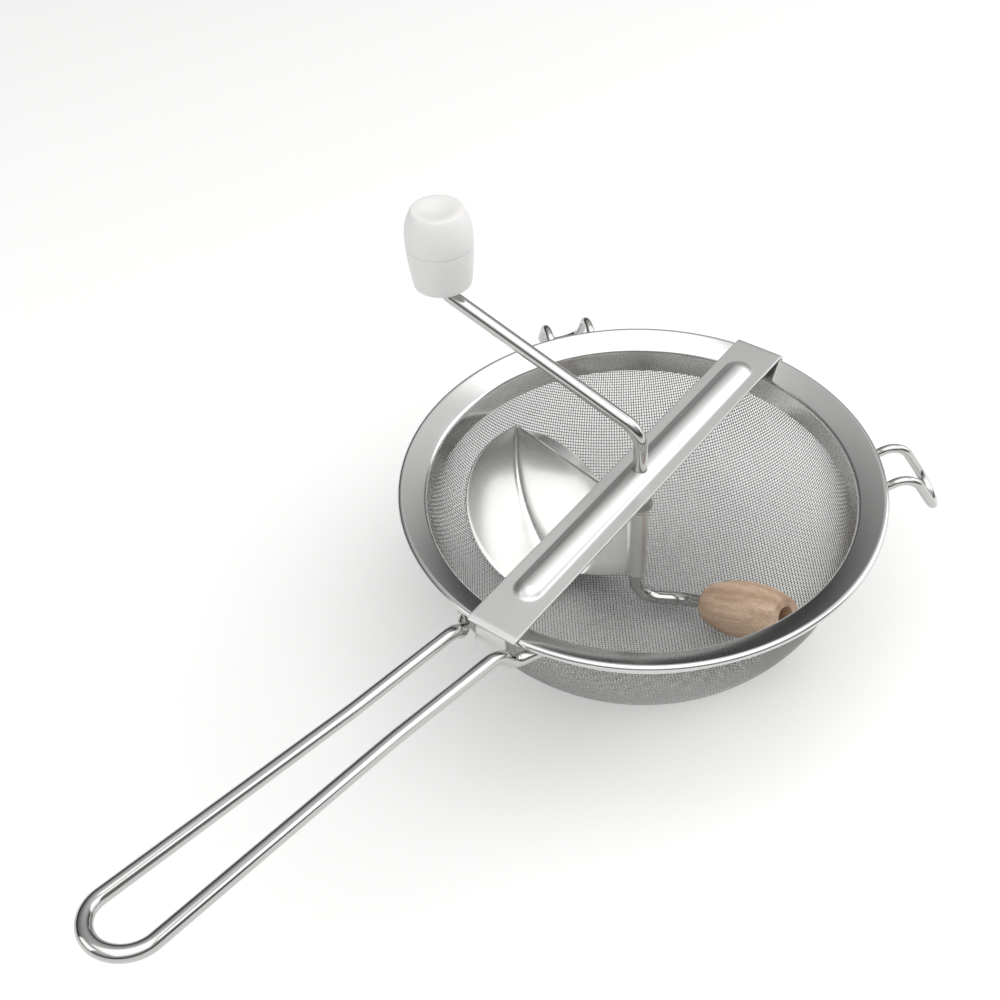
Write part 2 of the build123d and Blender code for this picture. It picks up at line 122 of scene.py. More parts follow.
# %% Paths with rounded corners
def rounded(points, radii, closed=False, turn_step=7.0):
    """Straight runs joined by arcs. An arc of radius r at a corner that turns by t starts
    r * tan(t / 2) before the corner, and its samples lie every few degrees."""
    points = np.asarray(points, float)
    count = len(points)
    inner = range(count) if closed else range(1, count - 1)
    radii = np.broadcast_to(radii, (len(inner),))
    out = [] if closed else [points[0]]
    for corner, radius in zip(inner, radii):
        here = points[corner]
        into = here - points[corner - 1]
        away = points[(corner + 1) % count] - here
        into, away = into / np.linalg.norm(into), away / np.linalg.norm(away)
        turn = math.acos(float(np.clip(into @ away, -1, 1)))
        if radius <= 0 or turn < 1e-4:
            out.append(here)
            continue
        side = away - into * (into @ away)
        side /= np.linalg.norm(side)
        start = here - into * radius * math.tan(turn / 2)
        centre = start + side * radius
        steps = max(2, math.ceil(math.degrees(turn) / turn_step))
        angle = np.linspace(0, turn, steps + 1)[:, None]
        out.extend(centre - side * radius * np.cos(angle) + into * radius * np.sin(angle))
    if not closed:
        out.append(points[-1])
    return np.array(out)


def arc(centre, radius, start, end, count):
    """Points of a circle between two angles in degrees, in radius and height."""
    angle = np.radians(np.linspace(start, end, count))
    return np.stack([centre[0] + radius * np.cos(angle), centre[1] + radius * np.sin(angle)], 1)


def dense(path, step):
    """The same path with extra samples on its long runs, no further apart than a step."""
    out = [path[0]]
    for start, end in zip(path[:-1], path[1:]):
        parts = max(1, math.ceil(np.linalg.norm(end - start) / step))
        out.extend(start + (end - start) * k / parts for k in range(1, parts + 1))
    return np.array(out)


# %% Meshes from arrays
SLANT = (0.31, 0.52, 0.79)  # a direction that no wire here starts along
EASE_STEPS = 4              # rings that ease the end of a wire


def make_piece(name, body, slot, material, verts, faces, uv=None, stands_for=(), sharp=35.0):
    """Put arrays into a mesh with its faces outwards, and hang it on its body."""
    verts = np.asarray(verts, float) * MM
    faces = np.asarray(faces)
    corners = verts[faces[:, :3]]
    volume = np.einsum("ij,ij->i", corners[:, 0], np.cross(corners[:, 1], corners[:, 2])).sum()
    if faces.shape[1] == 4:
        other = verts[faces[:, [0, 2, 3]]]
        volume += np.einsum("ij,ij->i", other[:, 0], np.cross(other[:, 1], other[:, 2])).sum()
    if volume < 0:
        faces = faces[:, ::-1]
    mesh = bpy.data.meshes.new(name)
    mesh.from_pydata(verts.tolist(), [], [f if f[0] != f[3] else f[1:] for f in faces.tolist()])
    if uv is not None:
        layer = mesh.uv_layers.new(name="UVMap")
        index = np.empty(len(mesh.loops), np.int32)
        mesh.loops.foreach_get("vertex_index", index)
        layer.data.foreach_set("uv", (np.asarray(uv, float) * MM)[index].ravel())
    mesh.polygons.foreach_set("use_smooth", [True] * len(mesh.polygons))
    mesh.set_sharp_from_angle(angle=math.radians(sharp))
    mesh.validate()
    piece = bpy.data.objects.new(name, mesh)
    scene.collection.objects.link(piece)
    mesh.materials.append(material)
    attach(piece, body)
    if stands_for:
        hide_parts(*stands_for)
    print(name, len(mesh.polygons), "faces")
    return piece


def loft(rings, along=False, caps=False):
    """Skin a stack of closed rings. It may close along too, or be capped with a fan at each end.
    Returns vertices, faces and a map of lengths around and along."""
    rings = np.asarray(rings, float)
    rows, cols = rings.shape[:2]
    index = np.arange(rows * cols).reshape(rows, cols)
    lower = index if along else index[:-1]
    upper = np.roll(index, -1, 0) if along else index[1:]
    faces = [np.stack([lower, np.roll(lower, -1, 1), np.roll(upper, -1, 1), upper],
                      -1).reshape(-1, 4)]
    verts = [rings.reshape(-1, 3)]
    run = np.linalg.norm(np.diff(rings.mean(1), axis=0), axis=1)
    girth = np.linalg.norm(np.diff(rings, axis=1), axis=2).mean(0)
    u, v = np.meshgrid(np.r_[0, girth.cumsum()], np.r_[0, run.cumsum()])
    uv = [np.stack([u, v], -1).reshape(-1, 2)]
    if caps:
        for row, flip in ((0, False), (rows - 1, True)):
            middle = sum(len(part) for part in verts)
            verts.append(rings[row].mean(0)[None])
            uv.append([uv[0][index[row, 0]]])
            ring = index[row][::-1] if flip else index[row]
            after = np.roll(ring, -1)
            faces.append(np.stack([np.full_like(ring, middle), after, ring,
                                   np.full_like(ring, middle)], 1))
    return np.concatenate(verts), np.concatenate(faces), np.concatenate(uv)


def carried_frames(path):
    """Tangent and two cross directions at each sample, carried along without twist."""
    tangent = np.gradient(path, axis=0)
    tangent /= np.linalg.norm(tangent, axis=1, keepdims=True)
    side = np.zeros_like(path)
    guess = np.cross(tangent[0], SLANT)
    for row, direction in enumerate(tangent):
        guess = guess - direction * (guess @ direction)
        guess = guess / np.linalg.norm(guess)
        side[row] = guess
    return tangent, side, np.cross(tangent, side)


def tube(path, radius, sides=28, blunt=0.35):
    """Round wire: a circle carried along a path, its two ends eased over a small edge."""
    path = np.asarray(path, float)
    tangent, side, other = carried_frames(path)
    ease = np.linspace(0, math.pi / 2, EASE_STEPS)
    first = path[0] + tangent[0] * blunt * (1 - np.cos(ease))[:, None]
    last = path[-1] - tangent[-1] * blunt * (1 - np.cos(ease))[::-1, None]
    centres = np.concatenate([first, path[1:-1], last])
    shrink = radius - blunt * (1 - np.sin(ease))
    size = np.concatenate([shrink, np.full(len(path) - 2, radius), shrink[::-1]])
    pick = np.r_[[0] * EASE_STEPS, np.arange(1, len(path) - 1), [len(path) - 1] * EASE_STEPS]
    angle = np.linspace(0, 2 * math.pi, sides, endpoint=False)
    circle = (side[pick][:, None] * np.cos(angle)[:, None]
              + other[pick][:, None] * np.sin(angle)[:, None])
    return loft(centres[:, None] + circle * size[:, None, None], caps=True)


def lathe(profile, segments=192, closed=True, place=None):
    """Turn a profile of radius and height about Z. A closed profile makes a ring; an open one
    starts and ends on the axis. `place` moves the result to its own axle."""
    profile = np.asarray(profile, float)
    angle = np.linspace(0, 2 * math.pi, segments, endpoint=False)
    if not closed:
        profile = profile[1:-1] if profile[0, 0] == 0 else profile
    x = np.outer(np.cos(angle), profile[:, 0])
    y = np.outer(np.sin(angle), profile[:, 0])
    z = np.broadcast_to(profile[:, 1], x.shape)
    rings = np.stack([x, y, z], -1)
    if closed:
        verts, faces, uv = loft(rings, along=True)
    else:
        verts, faces, uv = loft(rings.transpose(1, 0, 2), caps=True)
    if place is not None:
        verts = verts @ np.array(place)[:3, :3].T + np.array(place)[:3, 3]
    return verts, faces, uv


# %% [markdown]
# ## Finishes
# Stainless steel keeps one colour and changes only in how it was finished. A stamped rim is
# polished on a wheel that runs round it, a bridge strip keeps the long fine grain of the rolled
# sheet, drawn wire is bright with faint lines along it, and the blade is polished like a spoon.
# So each finish is the same metal with its own roughness and its own direction of grain.


# %% Node helper and colours
def linear(code):
    """An sRGB hex colour as linear values with alpha."""
    parts = [int(code[k:k + 2], 16) / 255 for k in (1, 3, 5)]
    return [c / 12.92 if c <= 0.04045 else ((c + 0.055) / 1.055) ** 2.4 for c in parts] + [1.0]


def add(tree, kind, settings=None, **inputs):
    """Add a node. Settings are its own choices; each input is a value or another node's socket.
    Underscores in an input's name stand for spaces."""
    made = tree.nodes.new(kind)
    for key, value in (settings or {}).items():
        setattr(made, key, value)
    for key, value in inputs.items():
        place = int(key[1:]) if key[1:].isdigit() else key.replace("_", " ")
        socket = made.inputs[place]
        if isinstance(value, bpy.types.NodeSocket):
            tree.links.new(value, socket)
        else:
            socket.default_value = value
    return made


def new_material(name, **surface):
    """A material with one Principled shader and the given plain values. Returns both."""
    material = bpy.data.materials.new(name)
    material.use_nodes = True
    tree = material.node_tree
    shader = tree.nodes["Principled BSDF"]
    for key, value in surface.items():
        shader.inputs[key.replace("_", " ")].default_value = value
    return material, tree, shader


FINE_SHARE = 0.6  # of the fine grain in a finish; the slow cloud has the rest


def metal(name, colour, darker, low, high, grain, source, bump=0.0, anisotropic=0.0, fog=30.0):
    """Stainless steel. `grain` is the size of the polish in millimetres along X, Y and Z of the
    source coordinates; roughness runs between low and high, and a slow cloud, `fog` millimetres
    across, varies the shine as handling does."""
    material, tree, shader = new_material(name, Metallic=1.0, Anisotropic=anisotropic)
    where = add(tree, "ShaderNodeTexCoord").outputs[source]
    scale = [1 / (size * MM) for size in grain]
    stretched = add(tree, "ShaderNodeMapping", Vector=where, Scale=scale).outputs["Vector"]
    fine = add(tree, "ShaderNodeTexNoise", Vector=stretched, Scale=1.0, Detail=3.0,
               Roughness=0.6).outputs["Fac"]
    own = add(tree, "ShaderNodeTexCoord").outputs["Object"]
    cloud = add(tree, "ShaderNodeTexNoise", Vector=own, Scale=1 / (fog * MM),
                Detail=2.0).outputs["Fac"]
    rest = add(tree, "ShaderNodeMath", {"operation": "MULTIPLY"}, _0=cloud,
               _1=1 - FINE_SHARE).outputs[0]
    both = add(tree, "ShaderNodeMath", {"operation": "MULTIPLY_ADD"}, _0=fine, _1=FINE_SHARE,
               _2=rest).outputs[0]
    rough = add(tree, "ShaderNodeMapRange", Value=both, To_Min=low, To_Max=high).outputs[0]
    tint = add(tree, "ShaderNodeMix", {"data_type": "RGBA"}, Factor=both)
    tint.inputs[6].default_value = linear(darker)
    tint.inputs[7].default_value = linear(colour)
    tree.links.new(tint.outputs[2], shader.inputs["Base Color"])
    tree.links.new(rough, shader.inputs["Roughness"])
    if bump:
        relief = add(tree, "ShaderNodeBump", Height=fine, Strength=1.0, Distance=bump * MM)
        tree.links.new(relief.outputs["Normal"], shader.inputs["Normal"])
    return material


# %% Steels
rim_steel = metal("polished_stamped_stainless", "#d8d8d6", "#c6c6c5", 0.12, 0.22,
                  (0.35, 90.0, 1.0), "UV", bump=0.0006, anisotropic=0.3)
bridge_steel = metal("satin_rolled_stainless", "#dcdcda", "#cececd", 0.36, 0.46,
                     (60.0, 0.35, 0.35), "Object", bump=0.0008)
wire_steel = metal("bright_drawn_stainless", "#c6c6c4", "#b4b4b3", 0.07, 0.16,
                   (0.4, 60.0, 1.0), "UV", bump=0.0003)
blade_steel = metal("mirror_polished_stainless", "#e8e8e6", "#dcdcdb", 0.14, 0.24,
                    (14.0, 14.0, 14.0), "Object", bump=0.004)
mesh_steel = metal("woven_stainless_wire", "#bcbcba", "#9c9c9b", 0.12, 0.24,
                   (3.0, 3.0, 3.0), "Object")
spring_steel = metal("drawn_spring_wire", "#a8a8a6", "#8c8c8b", 0.22, 0.38,
                     (0.5, 0.5, 0.5), "Object")

# %% [markdown]
# The knob is white polypropylene from a mould with a fine satin texture. A little light enters
# it, so its shaded side stays soft. The roller is turned beech: a pale wood with short dark
# flecks, the rays, and fine lines of pores that run along the piece.

# %% Plastic and wood
SPARK_TEXTURE = 0.35   # millimetres between the bumps of the mould's texture
SPARK_DEPTH = 0.004
TOUCH_CLOUD = 18.0     # millimetres across a patch that is a little shinier
knob_plastic, tree, shader = new_material("satin_moulded_polypropylene", Roughness=0.34, IOR=1.49,
                                          Subsurface_Weight=0.12, Subsurface_Scale=0.004)
shader.inputs["Base Color"].default_value = linear("#e0e0de")
where = add(tree, "ShaderNodeTexCoord").outputs["Object"]
texture = add(tree, "ShaderNodeTexNoise", Vector=where, Scale=1 / (SPARK_TEXTURE * MM), Detail=2.0)
relief = add(tree, "ShaderNodeBump", Height=texture.outputs["Fac"], Strength=1.0,
             Distance=SPARK_DEPTH * MM)
tree.links.new(relief.outputs["Normal"], shader.inputs["Normal"])
soft = add(tree, "ShaderNodeTexNoise", Vector=where, Scale=1 / (TOUCH_CLOUD * MM),
           Detail=1.0).outputs["Fac"]
shine = add(tree, "ShaderNodeMapRange", Value=soft, To_Min=0.30, To_Max=0.40).outputs[0]
tree.links.new(shine, shader.inputs["Roughness"])


YEAR_RINGS = (5.0, 90.0)  # millimetres across and along the grain
PORES = (0.45, 9.0)
RAYS = (0.9, 3.2)
PORE_DEPTH = 0.05


def cells(size):
    """Scale of a pattern whose cells are so many millimetres across and along the grain."""
    return (1 / (size[0] * MM), 1 / (size[0] * MM), 1 / (size[1] * MM))


def beech_material(axis, centre):
    """Beech with its grain along an axis: long thin pores, short rays and slow year rings."""
    material, tree, shader = new_material("turned_beech", Roughness=0.6, IOR=1.5)
    where = add(tree, "ShaderNodeTexCoord").outputs["Object"]
    turn = Matrix(np.array(axis).tolist()).to_euler()
    local = add(tree, "ShaderNodeMapping", {"vector_type": "TEXTURE"}, Vector=where,
                Location=centre, Rotation=turn).outputs["Vector"]
    rings = add(tree, "ShaderNodeTexNoise", Scale=1.0, Detail=3.0, Vector=add(
        tree, "ShaderNodeMapping", Vector=local,
        Scale=cells(YEAR_RINGS)).outputs["Vector"]).outputs["Fac"]
    pores = add(tree, "ShaderNodeTexNoise", Scale=1.0, Detail=4.0, Roughness=0.65, Vector=add(
        tree, "ShaderNodeMapping", Vector=local,
        Scale=cells(PORES)).outputs["Vector"]).outputs["Fac"]
    rays = add(tree, "ShaderNodeTexVoronoi", Scale=1.0, Vector=add(
        tree, "ShaderNodeMapping", Vector=local,
        Scale=cells(RAYS)).outputs["Vector"]).outputs["Distance"]
    base = add(tree, "ShaderNodeValToRGB", Fac=rings)
    base.color_ramp.elements[0].position, base.color_ramp.elements[1].position = 0.35, 0.68
    base.color_ramp.elements[0].color = linear("#c2a187")
    base.color_ramp.elements[1].color = linear("#e8ccb0")
    dark = add(tree, "ShaderNodeMapRange", Value=pores, From_Min=0.35, From_Max=0.62,
               To_Min=0.72, To_Max=1.0).outputs[0]
    fleck = add(tree, "ShaderNodeMapRange", Value=rays, From_Min=0.0, From_Max=0.35,
                To_Min=0.80, To_Max=1.0).outputs[0]
    shade = add(tree, "ShaderNodeMath", {"operation": "MULTIPLY"}, _0=dark, _1=fleck).outputs[0]
    mixed = add(tree, "ShaderNodeMix", {"data_type": "RGBA", "blend_type": "MULTIPLY"}, Factor=1.0)
    tree.links.new(base.outputs["Color"], mixed.inputs[6])
    tree.links.new(shade, mixed.inputs[7])
    tree.links.new(mixed.outputs[2], shader.inputs["Base Color"])
    relief = add(tree, "ShaderNodeBump", Height=pores, Strength=0.8, Distance=PORE_DEPTH * MM)
    tree.links.new(relief.outputs["Normal"], shader.inputs["Normal"])
    return material


# %% [markdown]
# ## The rim
# The rim is one stamped band. Its outer edge is curled round a stiffening wire, a flange slopes
# inwards, and a short wall carries the mesh. A turned profile gives it exactly: an arc for the
# curl, a straight flange, an arc for the corner and a straight wall, out on one side of the
# sheet and back on the other.

# %% Rim band
RIM_RADIUS = round(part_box("rim_band")[1][0] / MM, 1)
BEAD_RADIUS = 1.6
BEAD_CENTRE = RIM_RADIUS - BEAD_RADIUS
SHEET = 0.6
FLANGE_WIDTH = 11.8
FLANGE_SLOPE = 24.5
FLANGE_CORNER = 2.4
WALL_DEPTH = round(-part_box("rim_band")[0][2] / MM, 1)
WALL_RADIUS = RIM_RADIUS - FLANGE_WIDTH
WALL_TAPER = 0.6
CURL_END = 205.0


def flange_level(radius, below=0.0):
    """Height of the flange's top at a radius, or of a line that far under it: the flange is
    tangent to the bead, so the line starts at the bead's radius over the cosine of the slope."""
    slope = math.radians(FLANGE_SLOPE)
    return (BEAD_RADIUS - below) / math.cos(slope) - (BEAD_CENTRE - radius) * math.tan(slope)


def rim_side(inset):
    """One side of the rim's sheet, from the end of the curl to the foot of the wall."""
    curl = arc((BEAD_CENTRE, 0), BEAD_RADIUS - inset, CURL_END - 360, 90 + FLANGE_SLOPE, 30)
    corner = WALL_RADIUS + inset
    run = rounded([curl[-1], (corner, flange_level(corner, inset)),
                   (corner - WALL_TAPER, -WALL_DEPTH)], FLANGE_CORNER - inset)
    return np.concatenate([curl, run[1:]])


rim_profile = np.concatenate([rim_side(0.0), rim_side(SHEET)[::-1]])
make_piece("rim_band_stamped", "sieve", "rim_steel", rim_steel, *lathe(rim_profile, 256),
           stands_for=["rim_band"])

# %% Clamp ring behind the mesh
RING_RADIUS = round(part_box("mesh_ring")[1][0] / MM, 2)
RING_EASE = 0.25
ring_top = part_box("mesh_ring")[1][2] / MM
ring_profile = rounded([(RING_RADIUS, -WALL_DEPTH), (RING_RADIUS, ring_top),
                        (RING_RADIUS - SHEET, ring_top), (RING_RADIUS - SHEET, -WALL_DEPTH)],
                       RING_EASE, closed=True)
make_piece("mesh_ring_rolled", "sieve", "rim_steel", rim_steel, *lathe(ring_profile, 256),
           stands_for=["mesh_ring"])

# %% [markdown]
# ## The woven bowl
# The bowl is a disc of plain-woven wire pressed into shape. Two sets of wires cross, and each
# goes over one and under the next. Pressing keeps distances from the middle and closes the
# circles up towards the rim, so a point of the flat cloth at distance s and angle a lands on the
# bowl's meridian at arc length s, at the same angle. A picture of a weave on a smooth skin would
# give itself away at the edge and in the light that comes through, so every wire is real here:
# four-sided, about 0.4 mm thick, 1.4 mm apart.

# %% Meridian of the bowl
KNEE_RADIUS = 60.0
FLOOR_SLOPE = math.radians(25.0)
MESH_WIRE = 0.4
MESH_PITCH = 1.4
MESH_TOP = round(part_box("mesh_bowl")[1][2] / MM, 1)
MESH_RADIUS = round(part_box("mesh_bowl")[1][0] / MM, 2) - 2 * MESH_WIRE
KNEE_CENTRE = MESH_RADIUS - KNEE_RADIUS
FLOOR_RADIUS = KNEE_RADIUS + KNEE_CENTRE / math.sin(FLOOR_SLOPE)
FLOOR_CENTRE = -WALL_DEPTH + (FLOOR_RADIUS - KNEE_RADIUS) * math.cos(FLOOR_SLOPE)
FLOOR_RUN = FLOOR_RADIUS * FLOOR_SLOPE
KNEE_RUN = KNEE_RADIUS * (math.pi / 2 - FLOOR_SLOPE)


def meridian(run, inset):
    """Radius, height and slope angle of the bowl at an arc length from its middle, on a skin
    moved inwards by inset. The floor and the knee are arcs and the wall is upright."""
    floor_angle = np.clip(run / FLOOR_RADIUS, 0, FLOOR_SLOPE)
    knee_angle = np.clip((run - FLOOR_RUN) / KNEE_RADIUS, 0, math.pi / 2 - FLOOR_SLOPE)
    wall = np.maximum(run - FLOOR_RUN - KNEE_RUN, 0)
    on_floor = run < FLOOR_RUN
    angle = np.where(on_floor, floor_angle, FLOOR_SLOPE + knee_angle)
    reach = np.where(on_floor, FLOOR_RADIUS, KNEE_RADIUS) - inset
    radius = np.where(on_floor, 0, KNEE_CENTRE) + reach * np.sin(angle)
    height = np.where(on_floor, FLOOR_CENTRE, -WALL_DEPTH) - reach * np.cos(angle) + wall
    return radius, height, angle


# %% Wires of the weave
WEAVE_TURN = math.radians(38.0)
cloth_run = FLOOR_RUN + KNEE_RUN + (MESH_TOP + WALL_DEPTH) - 0.6
wires_each_way = int(cloth_run / MESH_PITCH)


def weave(hand):
    """One set of wires as a grid of crossings. `hand` 1 lies over where the other lies under."""
    step = (np.arange(-wires_each_way, wires_each_way + 1)) * MESH_PITCH
    across, along = np.meshgrid(step, step, indexing="ij")
    u, v = (along, across) if hand > 0 else (across, along)
    run = np.hypot(u, v)
    turn = np.arctan2(v, u) + WEAVE_TURN
    count = np.arange(len(step))
    over = np.where((count[:, None] + count[None, :]) % 2 == 0, 1.0, -1.0) * hand
    inset = -MESH_WIRE + over * MESH_WIRE / 2
    radius, height, slope = meridian(run, inset)
    points = np.stack([radius * np.cos(turn), radius * np.sin(turn), height], -1)
    normal = np.stack([-np.sin(slope) * np.cos(turn), -np.sin(slope) * np.sin(turn),
                       np.cos(slope)], -1)
    return points, normal, run <= cloth_run


def wire_cage(points, normal, kept):
    """Four-sided wires through rows of a grid: a square of points at each kept crossing, walls
    between neighbours, and a lid wherever a wire ends."""
    ahead = np.roll(points, -1, 1) - np.roll(points, 1, 1)
    ahead /= np.maximum(np.linalg.norm(ahead, axis=2, keepdims=True), 1e-9)
    side = np.cross(ahead, normal)
    side /= np.linalg.norm(side, axis=2, keepdims=True)
    lift = np.cross(side, ahead)
    radius = MESH_WIRE / 2
    corners = [points + radius * (side * math.cos(a) + lift * math.sin(a))
               for a in np.arange(4) * math.pi / 2]
    square = np.stack(corners, 2)
    number = np.full(kept.shape, -1)
    number[kept] = np.arange(kept.sum()) * 4
    joined = kept[:, :-1] & kept[:, 1:]
    low, high = number[:, :-1][joined], number[:, 1:][joined]
    walls = [np.stack([low + k, low + (k + 1) % 4, high + (k + 1) % 4, high + k], 1)
             for k in range(4)]
    before = np.zeros_like(kept)
    before[:, 1:] = kept[:, :-1]
    after = np.zeros_like(kept)
    after[:, :-1] = kept[:, 1:]
    first, last = number[kept & ~before], number[kept & ~after]
    lids = [np.stack([first + 3, first + 2, first + 1, first], 1),
            np.stack([last, last + 1, last + 2, last + 3], 1)]
    return square[kept].reshape(-1, 3), np.concatenate(walls + lids)


def weave_pieces():
    """Each set of wires in two halves, so that no piece grows too heavy."""
    for hand, title in ((1, "warp"), (-1, "weft")):
        points, normal, kept = weave(hand)
        middle = len(kept) // 2
        for half, rows in (("a", slice(0, middle)), ("b", slice(middle, None))):
            verts, faces = wire_cage(points[rows], normal[rows], kept[rows])
            make_piece(f"mesh_{title}_{half}", "sieve", "mesh_steel", mesh_steel, verts, faces,
                       stands_for=["mesh_bowl"], sharp=180.0)


weave_pieces()

# %% [markdown]
# ## Handle and hooks
# The handle is one wire. Its ends lie along the ring under the flange, turn out beneath the
# bead, rise beside the bridge's tongue and run out as two nearly parallel rods to a round loop.
# Each hook is a short U of thinner wire that rests on the edge of a pot. A path of a few corner
# points with bend radii says all of this.

# %% Handle
HANDLE_RADIUS = 2.65
HANDLE_GAP, WAIST_GAP, LOOP_GAP = 20.4, 19.2, 23.6
HANDLE_SLOPE = math.tan(math.radians(13.0))
HANDLE_LEVEL = 1.8
HANDLE_WAIST = 65.0
DIVE, FOOT, SPLAY = 9.5, 3.5, 2.1
HUG_START, HUG_END = math.radians(14.0), math.radians(27.0)
HUG_RUN = 4.6
HUG_BEND, FOOT_BEND, DIVE_BEND, WAIST_BEND = 8.0, 7.0, 13.0, 180.0
HUG_SHARE = 0.97  # the arc along the ring takes nearly all of its corner
SEAT = 0.05
BEND_ROOM = 0.1
loop_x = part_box("handle_wire")[0][0] / MM + HANDLE_RADIUS


def both_sides(side):
    """A path's half and its mirror across the middle, in order."""
    return np.array(side + [(x, -y, z) for x, y, z in reversed(side)])


def handle_path():
    """Corner points and bend radii of the handle's wire: along the ring, out beneath the bead,
    up to the line of the rods, in a little to their waist and out to the loop."""
    hug = RING_RADIUS + SEAT + HANDLE_RADIUS
    level = flange_level(hug, SHEET + HANDLE_RADIUS + 4 * SEAT)
    middle, half = (HUG_START + HUG_END) / 2, (HUG_END - HUG_START) / 2

    def rod_point(x, gap):
        return (x, gap / 2, HANDLE_LEVEL - (x + RIM_RADIUS) * HANDLE_SLOPE)

    side = [
        (-hug * math.cos(HUG_END), hug * math.sin(HUG_END), level),
        (-hug / math.cos(half) * math.cos(middle), hug / math.cos(half) * math.sin(middle), level),
        (-hug * math.cos(HUG_START) - HUG_RUN * math.sin(HUG_START),
         hug * math.sin(HUG_START) - HUG_RUN * math.cos(HUG_START), level),
        (-RIM_RADIUS - FOOT, HANDLE_GAP / 2 + SPLAY, level),
        rod_point(-RIM_RADIUS - DIVE, HANDLE_GAP),
        rod_point(-RIM_RADIUS - HANDLE_WAIST, WAIST_GAP),
        rod_point(loop_x, LOOP_GAP),
    ]
    radii = [hug * HUG_SHARE, HUG_BEND, FOOT_BEND, DIVE_BEND, WAIST_BEND, LOOP_GAP / 2 - BEND_ROOM]
    return rounded(both_sides(side), radii + radii[::-1], turn_step=4.0)


make_piece("handle_wire_bent", "sieve", "wire_steel", wire_steel,
           *tube(dense(handle_path(), 6.0), HANDLE_RADIUS, 32), stands_for=["handle_wire"])

# %% Hooks
HOOK_RADIUS = 1.9
HOOK_WIDTH = 19.5
HOOK_SLOPE = math.radians(31.0)
HOOK_AZIMUTH = math.radians(51.0)
HOOK_PEAK, HOOK_REACH, HOOK_DROP = 9.5, 23.6, 22.6
HOOK_ROOT, HOOK_BEND = 4.0, 8.0


def hook_path():
    """A hook on the X axis: up the ring, out under the bead, over the pot's edge and down."""
    half = HOOK_WIDTH / 2
    root = RING_RADIUS + SEAT + HOOK_RADIUS
    bead = math.sqrt(BEAD_CENTRE ** 2 - half ** 2)
    under = (BEAD_RADIUS + HOOK_RADIUS + 6 * SEAT) / math.cos(HOOK_SLOPE)
    peak = RIM_RADIUS + HOOK_PEAK

    def level(x):
        return (x - bead) * math.tan(HOOK_SLOPE) - under

    side = [(root, half, -WALL_DEPTH), (root, half, level(root)), (peak, half, level(peak)),
            (RIM_RADIUS + HOOK_REACH, half, level(peak) - HOOK_DROP)]
    radii = [HOOK_ROOT, HOOK_BEND, half - BEND_ROOM]
    return rounded(both_sides(side), radii + radii[::-1], turn_step=5.0)


for hand, title in ((1, "left"), (-1, "right")):
    c, s = math.cos(HOOK_AZIMUTH), math.sin(HOOK_AZIMUTH) * hand
    turn = np.array([[c, -s, 0], [s, c, 0], [0, 0, 1]])
    make_piece(f"hook_{title}_bent", "sieve", "wire_steel", wire_steel,
               *tube(dense(hook_path() @ turn.T, 4.0), HOOK_RADIUS, 26),
               stands_for=[f"hook_{title}"])

# %% [markdown]
# ## The bridge
# The bridge is a strip of sheet with a long rib pressed up along its middle. Seen from the side
# it is a path: a short lip over the far bead, a long flat, and a tongue that turns down between
# the handle's rods and flares out for the thumb. The rib's height depends only on the distance
# from a line along the middle, so its ends are round by themselves. A loop round the sheet is
# carried along the path, and the shaft's hole is cut last.

# %% Bridge sizes and rib
STRIP = 1.2
STRIP_HALF = 11.0
TONGUE_HALF = 7.0
TONGUE_CORNER = 4.6
BRIDGE_SEAT = 0.35
BRIDGE_UNDER = BEAD_RADIUS + BRIDGE_SEAT
LIP_DROP = 2.3
TONGUE_BEND = 2.0
LIP_CORNER = 1.0
STRIP_EDGE = 0.22
STRIP_COLUMNS = 61
HOLE_RADIUS = 3.1
RIB_HALF, RIB_HEIGHT, RIB_FOOT = 6.5, 3.2, 1.5
RIB_END_NEAR, RIB_END_FAR = 17.0, 14.0  # from the rim's outside to each end of the rib
RIB_NEAR = -RIM_RADIUS + RIB_END_NEAR + RIB_HALF
RIB_FAR = RIM_RADIUS - RIB_END_FAR - RIB_HALF
FLARE = math.radians(38.0)
FLARE_LENGTH = 5.4
TONGUE_DROP = 3.2
crown = (RIB_HALF ** 2 + RIB_HEIGHT ** 2) / (2 * RIB_HEIGHT) - RIB_FOOT
crown_centre = RIB_HEIGHT - crown
meet = math.asin((RIB_FOOT - crown_centre) / (crown + RIB_FOOT))


def rib_rise(distance, below):
    """Height of the rib over the strip's top at a distance from its line, on the face that lies
    `below` under the top. A crown arc meets a hollow foot arc of the opposite curve."""
    top = crown_centre + np.sqrt(np.maximum((crown - below) ** 2 - distance ** 2, 0))
    foot = RIB_FOOT - np.sqrt(np.maximum((RIB_FOOT + below) ** 2 - (RIB_HALF - distance) ** 2, 0))
    rise = np.where(distance < (crown - below) * math.cos(meet), top, foot)
    return np.where(distance < RIB_HALF, rise, -below)


